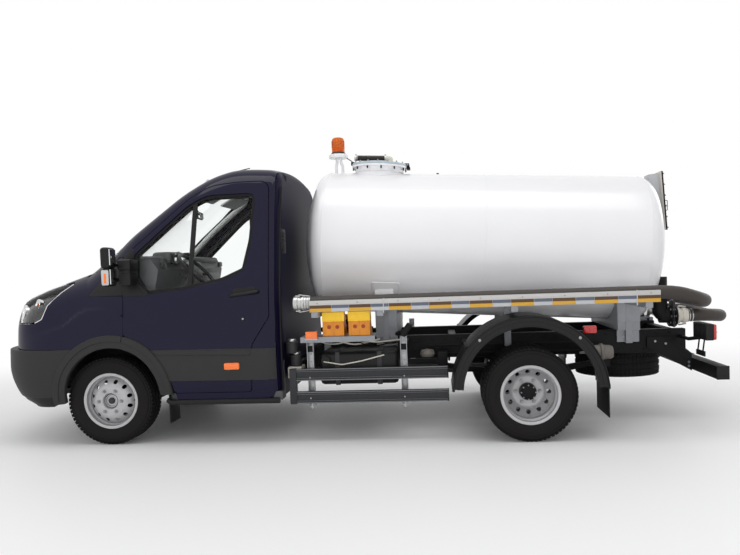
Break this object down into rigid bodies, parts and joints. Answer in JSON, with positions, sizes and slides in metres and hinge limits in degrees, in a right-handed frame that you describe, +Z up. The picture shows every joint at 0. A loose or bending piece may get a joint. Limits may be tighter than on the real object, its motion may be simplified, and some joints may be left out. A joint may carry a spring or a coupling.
{
  "type": "light tanker truck",
  "caption": "Light tanker truck: a dark blue cab on a ladder frame with twin rear wheels, a sloping round white tank, side hose trays and a rear outlet.",
  "frame": {"origin": "on the ground, on the centreline, half way along the overall length", "axes": "+X rearward, +Y to the vehicle's right, +Z up"},
  "size_m": [5.8977, 2.47, 2.44],
  "materials": {
    "navy_paint": "clear-coated dark blue metallic paint",
    "white_paint": "gloss white paint",
    "black_paint": "semi-gloss black chassis paint",
    "grey_steel": "grey painted steel plate",
    "galvanised": "galvanised steel",
    "wheel_silver": "silver painted pressed steel",
    "tyre_rubber": "black tyre rubber",
    "dark_plastic": "grained dark grey plastic",
    "mirror_plastic": "black moulded plastic",
    "cabin_plastic": "grained grey cabin plastic",
    "seat_fabric": "dark woven seat fabric",
    "clear_glass": "lightly tinted safety glass",
    "lamp_lens": "clear lamp lens",
    "red_lens": "red lamp lens",
    "amber_lens": "amber beacon lens",
    "hose_rubber": "dark brown-grey suction hose",
    "cast_metal": "dark cast metal",
    "alloy_coupling": "cast aluminium coupling",
    "yellow_plastic": "yellow moulded plastic",
    "lid_blue": "light blue-grey painted steel"
  },
  "bodies": {
    "chassis": {"beacon": "amber_lens", "cab_floor": "black_paint", "cab_shell": "navy_paint", "chock_shelf": "grey_steel", "cross_members": "black_paint", "dashboard": "cabin_plastic", "engine": "cast_metal", "exhaust": "black_paint", "frame_rails": "black_paint", "front_axle": "cast_metal", "front_bumper": "dark_plastic", "front_wings": "navy_paint", "fuel_tank": "black_paint", "grille": "dark_plastic", "headlamps": "lamp_lens", "hose_couplings": "alloy_coupling", "hose_trays": "white_paint", "leaf_springs": "black_paint", "manhole_neck": "white_paint", "outlet_hose": "hose_rubber", "outlet_valve": "mirror_plastic", "propshaft": "black_paint", "rear_axle": "cast_metal", "rear_mudguards": "black_paint", "seats": "seat_fabric", "side_guards": "galvanised", "sight_window": "grey_steel", "spare_wheel": "tyre_rubber", "tail_lamps": "red_lens", "tank": "white_paint", "tank_supports": "grey_steel", "tray_hose": "hose_rubber", "underrun_bar": "black_paint", "vacuum_pump": "cast_metal", "wheel_chocks": "yellow_plastic", "windscreen": "clear_glass"},
    "left_door": {"left_door": "navy_paint", "left_door_glass": "clear_glass", "left_mirror": "mirror_plastic"},
    "right_door": {"right_door": "navy_paint", "right_door_glass": "clear_glass", "right_mirror": "mirror_plastic"},
    "bonnet": {"bonnet": "navy_paint"},
    "steering_wheel": {"steering_wheel": "cabin_plastic"},
    "left_knuckle": {"left_knuckle": "cast_metal"},
    "right_knuckle": {"right_knuckle": "cast_metal"},
    "front_left_wheel": {"front_left_rim": "wheel_silver", "front_left_tyre": "tyre_rubber"},
    "front_right_wheel": {"front_right_rim": "wheel_silver", "front_right_tyre": "tyre_rubber"},
    "rear_left_wheels": {"rear_left_rims": "wheel_silver", "rear_left_tyres": "tyre_rubber"},
    "rear_right_wheels": {"rear_right_rims": "wheel_silver", "rear_right_tyres": "tyre_rubber"},
    "manhole_lid": {"manhole_lid": "lid_blue", "lid_pipe": "mirror_plastic"}
  },
  "joints": [
    {"name": "left_door_hinge", "type": "hinge", "parent": "chassis", "child": "left_door", "pos_m": [-1.747, -1.012, 1], "axis": [0, 0, -1], "range_deg": [0, 70]},
    {"name": "right_door_hinge", "type": "hinge", "parent": "chassis", "child": "right_door", "pos_m": [-1.747, 1.012, 1], "axis": [0, 0, 1], "range_deg": [0, 70]},
    {"name": "bonnet_hinge", "type": "hinge", "parent": "chassis", "child": "bonnet", "pos_m": [-2.032, 0, 1.386], "axis": [0, 1, 0], "range_deg": [0, 50]},
    {"name": "left_steering", "type": "hinge", "parent": "chassis", "child": "left_knuckle", "pos_m": [-1.91, -0.795, 0.34], "axis": [0, 0, 1], "range_deg": [-36, 36]},
    {"name": "right_steering", "type": "hinge", "parent": "chassis", "child": "right_knuckle", "pos_m": [-1.91, 0.795, 0.34], "axis": [0, 0, 1], "range_deg": [-36, 36]},
    {"name": "steering_wheel_turn", "type": "hinge", "parent": "chassis", "child": "steering_wheel", "pos_m": [-1.35, -0.42, 1.32], "axis": [0.7071, 0, 0.7071], "range_deg": [-540, 540]},
    {"name": "front_left_spin", "type": "hinge", "parent": "left_knuckle", "child": "front_left_wheel", "pos_m": [-1.91, -0.867, 0.34], "axis": [0, 1, 0], "continuous": true},
    {"name": "front_right_spin", "type": "hinge", "parent": "right_knuckle", "child": "front_right_wheel", "pos_m": [-1.91, 0.867, 0.34], "axis": [0, 1, 0], "continuous": true},
    {"name": "rear_left_spin", "type": "hinge", "parent": "chassis", "child": "rear_left_wheels", "pos_m": [1.28, -0.85, 0.34], "axis": [0, 1, 0], "continuous": true},
    {"name": "rear_right_spin", "type": "hinge", "parent": "chassis", "child": "rear_right_wheels", "pos_m": [1.28, 0.85, 0.34], "axis": [0, 1, 0], "continuous": true},
    {"name": "lid_hinge", "type": "hinge", "parent": "chassis", "child": "manhole_lid", "pos_m": [0.43375, 0, 2.15638], "axis": [0, 1, 0], "range_deg": [0, 95]}
  ],
  "couplings": [
    {"joint": "right_steering", "follows": "left_steering", "ratio": 1},
    {"joint": "steering_wheel_turn", "follows": "left_steering", "ratio": 15}
  ]
}
